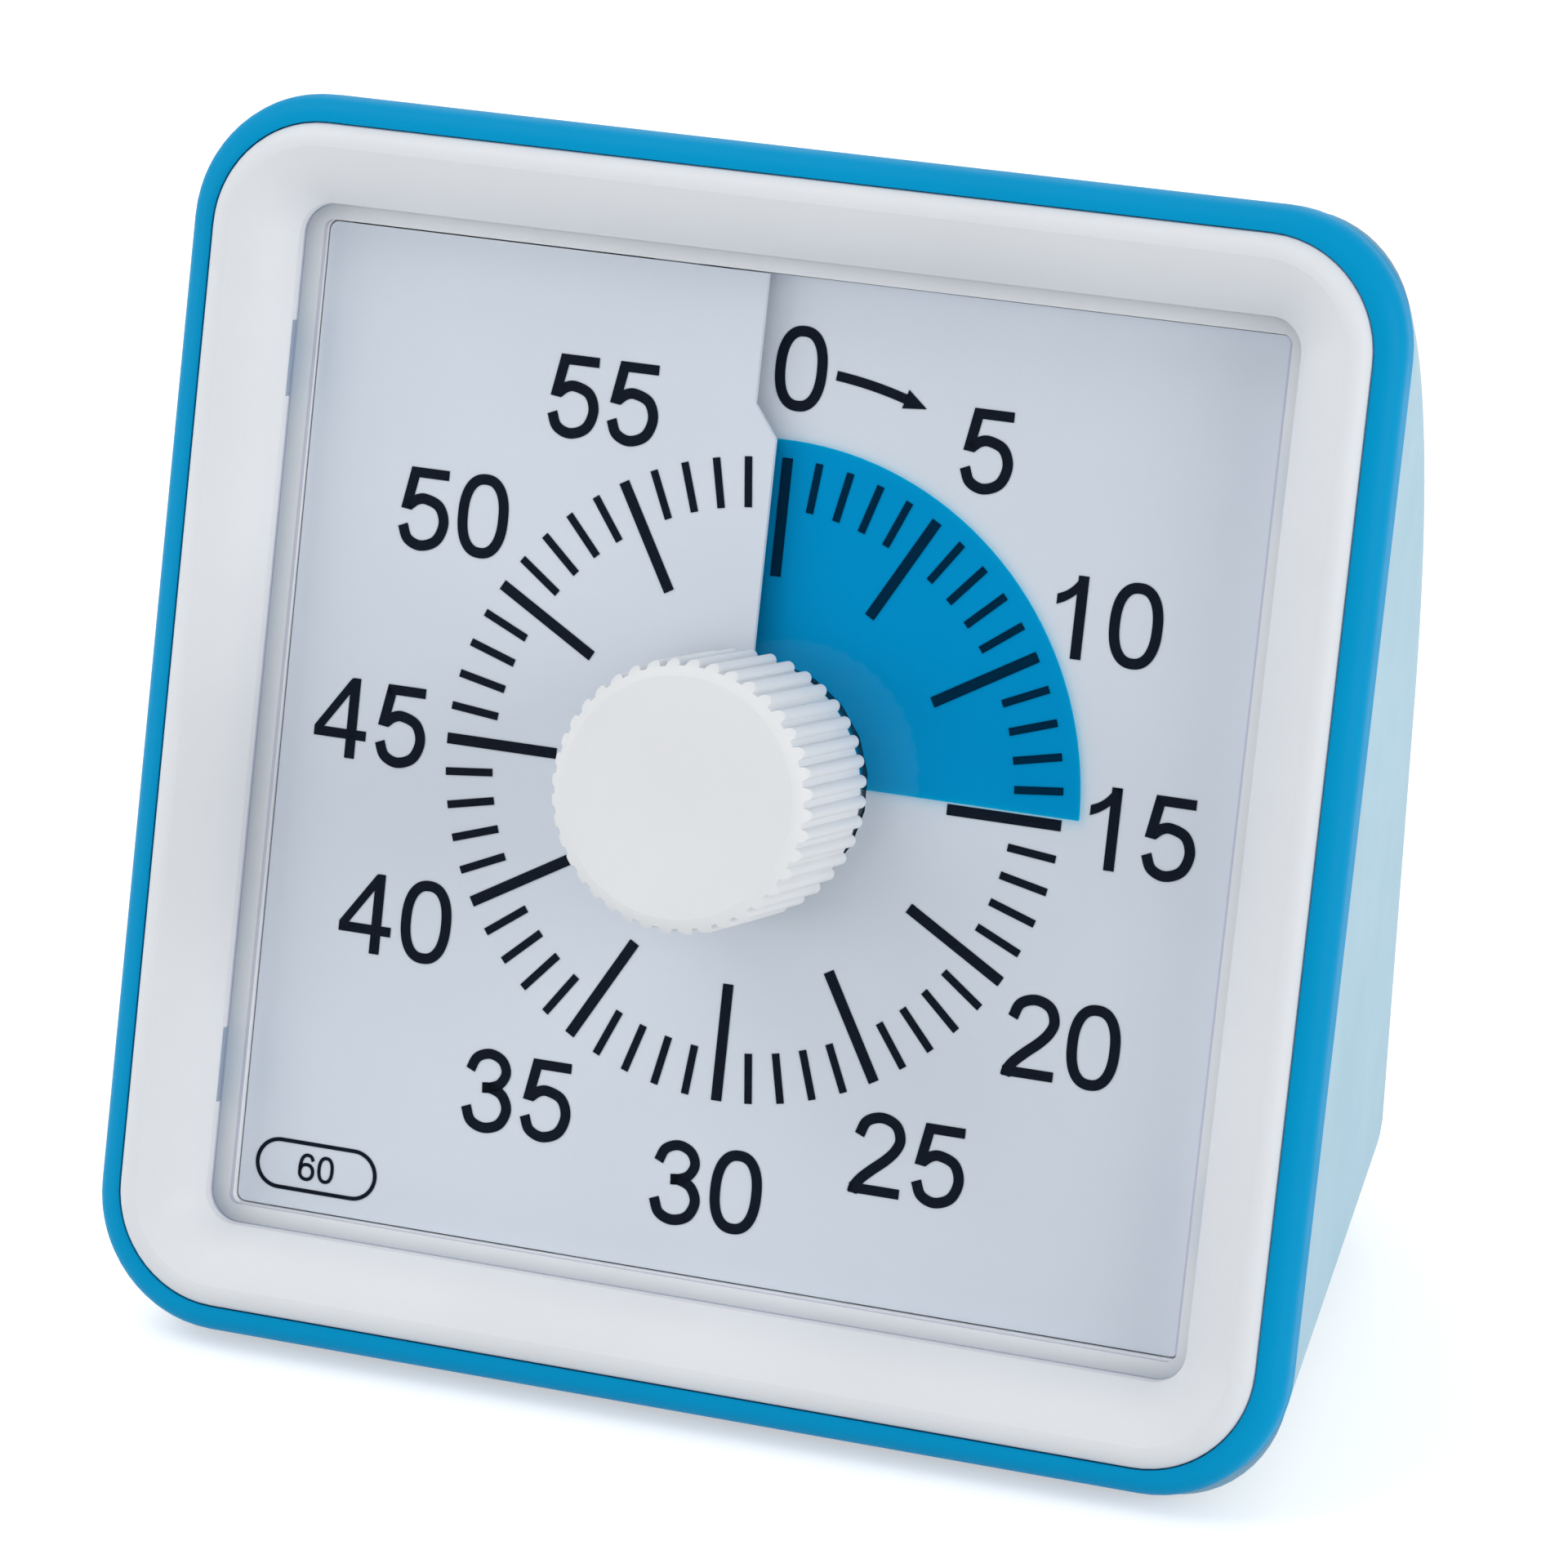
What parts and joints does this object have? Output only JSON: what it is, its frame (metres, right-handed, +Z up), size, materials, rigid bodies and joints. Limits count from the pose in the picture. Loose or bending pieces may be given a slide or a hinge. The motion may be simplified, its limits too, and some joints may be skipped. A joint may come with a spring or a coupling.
{
  "type": "visual countdown timer",
  "caption": "Desk timer whose ribbed knob turns a blue film sector through a slit in a numbered square dial; the dial leans back on a wedge-shaped housing.",
  "frame": {"origin": "middle of the underside of the non-slip pad that the timer stands on", "axes": "+Z up, the dial faces -Y and leans back by 18 degrees, +X to the right of someone reading the dial"},
  "size_m": [0.0798, 0.0498, 0.0772],
  "materials": {
    "blue_moulding": "satin",
    "white_moulding": "satin",
    "clear_plastic": "glossy",
    "printed_card": "matte",
    "blue_film": "satin",
    "knob_white": "satin",
    "bright_steel": "satin",
    "pale_blue_moulding": "satin",
    "cell_sleeve": "satin",
    "case_black": "matte",
    "brass_wheel": "satin",
    "nylon_wheel": "matte",
    "magnet": "satin",
    "soft_iron": "satin",
    "copper_wire": "satin",
    "board_green": "matte",
    "switch_black": "matte",
    "pad_rubber": "matte"
  },
  "bodies": {
    "housing": {"front_frame": "blue_moulding", "bezel": "white_moulding", "window": "clear_plastic", "dial_frame": "white_moulding", "dial_card": "printed_card", "rear_housing": "pale_blue_moulding", "aa_cell": "cell_sleeve", "contact_spring": "bright_steel", "contact_plate": "bright_steel", "movement_front": "case_black", "movement_back": "case_black", "stator": "soft_iron", "coil_bobbin": "soft_iron", "coil_winding": "copper_wire", "circuit_board": "board_green", "quartz_crystal": "bright_steel", "buzzer": "case_black", "switch_body": "case_black", "housing_screws": "bright_steel", "movement_screws": "bright_steel", "base_pad": "pad_rubber"},
    "knob": {"knob": "knob_white", "knob_shaft": "bright_steel", "clutch_spring": "bright_steel"},
    "disc": {"disc_hub": "white_moulding", "time_disc": "blue_film"},
    "centre_wheel": {"centre_wheel": "brass_wheel"},
    "third_wheel": {"third_wheel": "nylon_wheel"},
    "fourth_wheel": {"fourth_wheel": "nylon_wheel"},
    "intermediate_wheel": {"intermediate_wheel": "nylon_wheel"},
    "rotor": {"rotor": "magnet"},
    "sound_switch": {"sound_switch": "switch_black"},
    "battery_door": {"battery_door": "pale_blue_moulding"}
  },
  "joints": [
    {"name": "knob_turn", "type": "hinge", "parent": "housing", "child": "knob", "pos_m": [0, -0.00927, 0.03797], "axis": [0, -0.9511, 0.309], "range_deg": [-270, 90]},
    {"name": "disc_lift", "type": "slide", "parent": "knob", "child": "disc", "axis": [0, -0.9511, 0.309], "range_m": [-0.00035, 0.00105]},
    {"name": "rotor_spin", "type": "hinge", "parent": "housing", "child": "rotor", "pos_m": [0.012, -0.01197, 0.02969], "axis": [0, -0.9511, 0.309], "continuous": true},
    {"name": "intermediate_spin", "type": "hinge", "parent": "housing", "child": "intermediate_wheel", "pos_m": [0.00548, -0.01291, 0.02679], "axis": [0, -0.9511, 0.309], "continuous": true},
    {"name": "fourth_spin", "type": "hinge", "parent": "housing", "child": "fourth_wheel", "pos_m": [-0.0028, -0.01336, 0.0254], "axis": [0, -0.9511, 0.309], "continuous": true},
    {"name": "third_spin", "type": "hinge", "parent": "housing", "child": "third_wheel", "pos_m": [-0.00935, -0.01094, 0.03284], "axis": [0, -0.9511, 0.309], "continuous": true},
    {"name": "centre_spin", "type": "hinge", "parent": "housing", "child": "centre_wheel", "pos_m": [0, -0.00927, 0.03797], "axis": [0, -0.9511, 0.309], "continuous": true},
    {"name": "sound_slide", "type": "slide", "parent": "housing", "child": "sound_switch", "axis": [-1, 0, 0], "range_m": [0, 0.003]},
    {"name": "door_lift", "type": "slide", "parent": "housing", "child": "battery_door", "axis": [0, 0.9993, 0.0379], "range_m": [0, 0.02]}
  ],
  "couplings": [
    {"joint": "disc_lift", "follows": "knob_turn", "m_per_rad": -0.00022282},
    {"joint": "intermediate_spin", "follows": "rotor_spin", "ratio": -0.2},
    {"joint": "fourth_spin", "follows": "rotor_spin", "ratio": 0.033333},
    {"joint": "third_spin", "follows": "rotor_spin", "ratio": -0.0044444},
    {"joint": "centre_spin", "follows": "rotor_spin", "ratio": 0.00055556}
  ]
}
